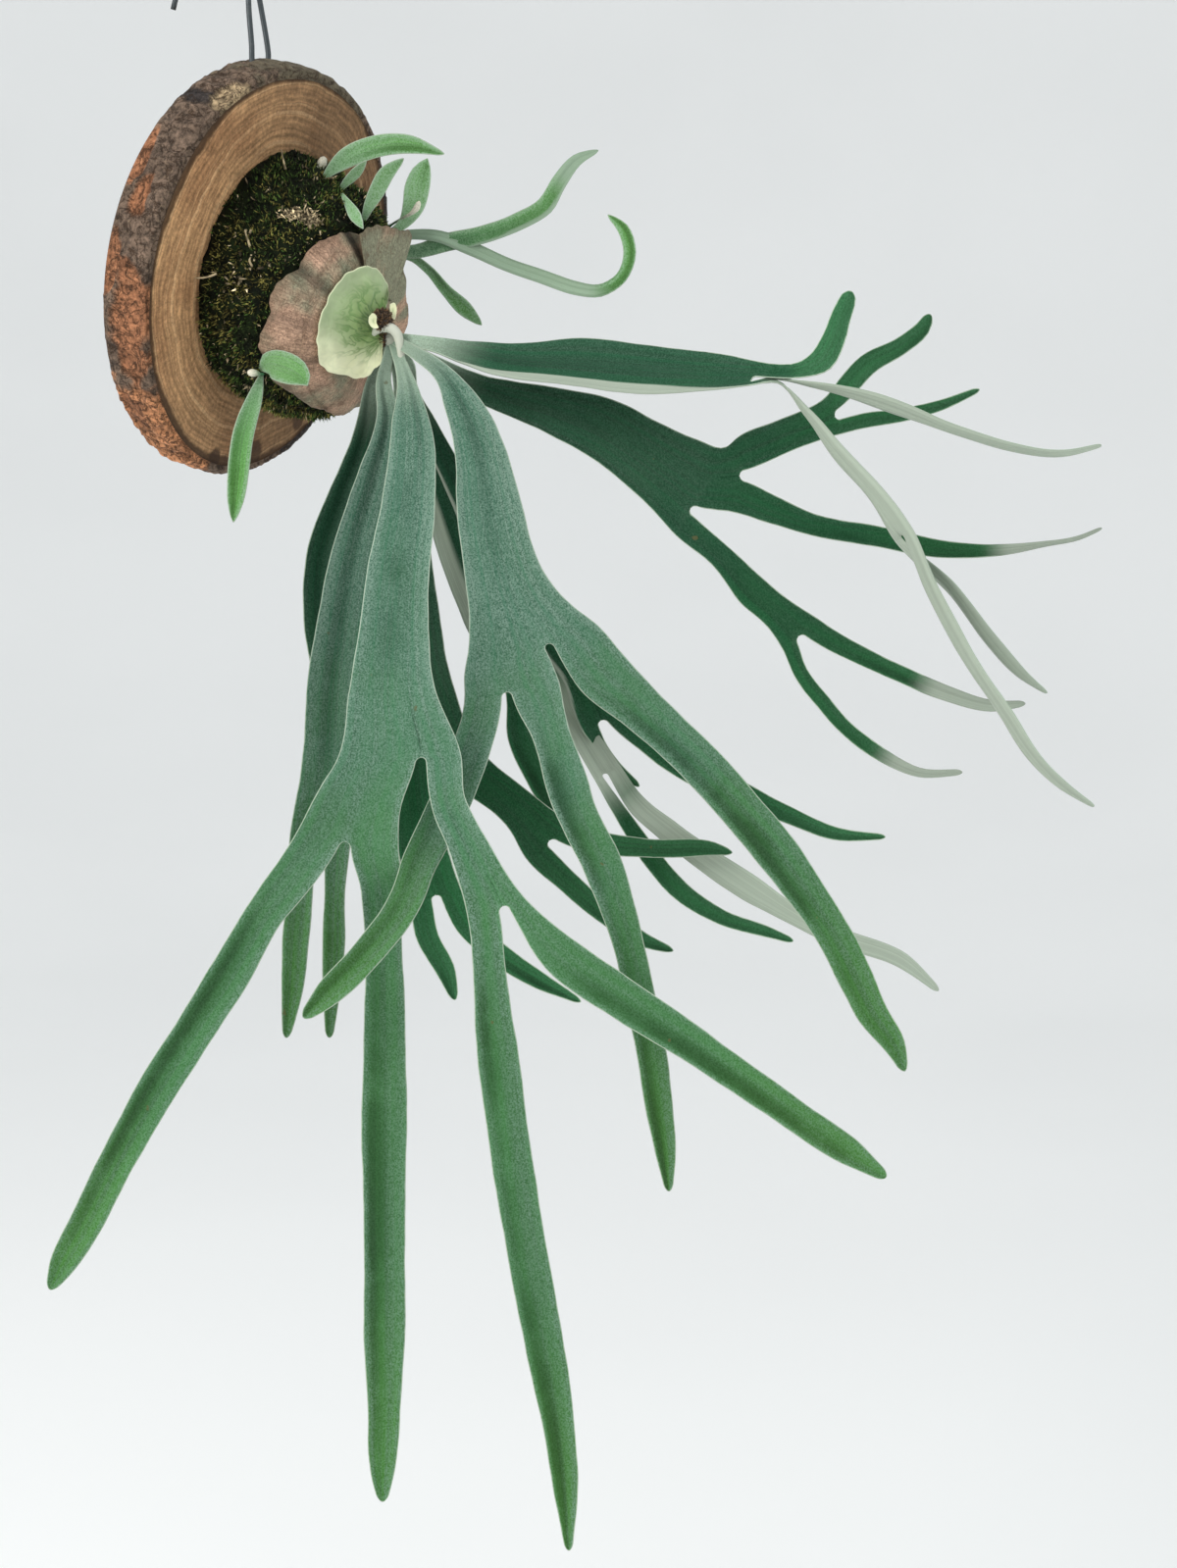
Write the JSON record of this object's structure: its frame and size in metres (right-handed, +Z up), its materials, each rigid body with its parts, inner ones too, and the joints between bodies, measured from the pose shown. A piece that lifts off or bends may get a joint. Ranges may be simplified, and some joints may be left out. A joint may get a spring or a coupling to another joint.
{
  "type": "mounted staghorn fern",
  "caption": "Staghorn fern with forked fronds, papery shields and young leaves in a moss mound on a live-edge log slice, hung by a stiff wire hook.",
  "frame": {"origin": "inner top of the wire hook, where it hangs on its nail or rail", "axes": "+Z is up as the plant hangs; the sawn face of the slice looks to -Y and leans 17.5 degrees forward and down; +X runs across the face"},
  "size_m": [0.3024, 0.4861, 0.8005],
  "materials": {
    "wood": "dry sawn end grain with growth rings, and rough grey-brown bark round the rim",
    "wire": "dark grey coated steel wire, half matte",
    "moss": "dark green sheet moss with dry straw-coloured strands",
    "dry_shield": "dry papery brown shield fronds with a grey-green tint and raised ribs",
    "green_shield": "fresh pale yellow-green shield frond with fine fanned veins",
    "rhizome": "brown scaly, fuzzy rhizome",
    "frond": "leathery grey-green frond with pale felt, greener to the tips",
    "dark_frond": "leathery dark green frond with a pale felted underside",
    "young_leaf": "bright green young leaf with a thin whitish margin"
  },
  "bodies": {
    "root": {"log_slice": "wood", "wire_hook": "wire", "wire_brace": "wire", "moss_mound": "moss", "shield_old": "dry_shield", "shield_old_upper": "dry_shield", "shield_fresh": "green_shield", "rhizome_crown": "rhizome", "growing_bud": "rhizome", "frond_front_centre": "frond", "frond_front_right": "frond", "frond_left_front": "frond", "frond_left_back": "dark_frond", "frond_middle_back": "dark_frond", "frond_hanging_back": "dark_frond", "frond_right_low": "dark_frond", "frond_right_pale": "dark_frond", "frond_outer_top": "frond", "frond_outer_low": "dark_frond", "strap_upper": "young_leaf", "strap_curled": "young_leaf", "strap_lower": "young_leaf", "pup_broad": "young_leaf", "pup_small_top": "young_leaf", "pup_slim": "young_leaf", "pup_oval": "young_leaf", "pup_small_low": "young_leaf", "pup_left_oval": "young_leaf", "pup_left_strap": "young_leaf", "bud_top": "young_leaf", "bud_right": "young_leaf", "bud_left": "young_leaf"}
  },
  "joints": []
}
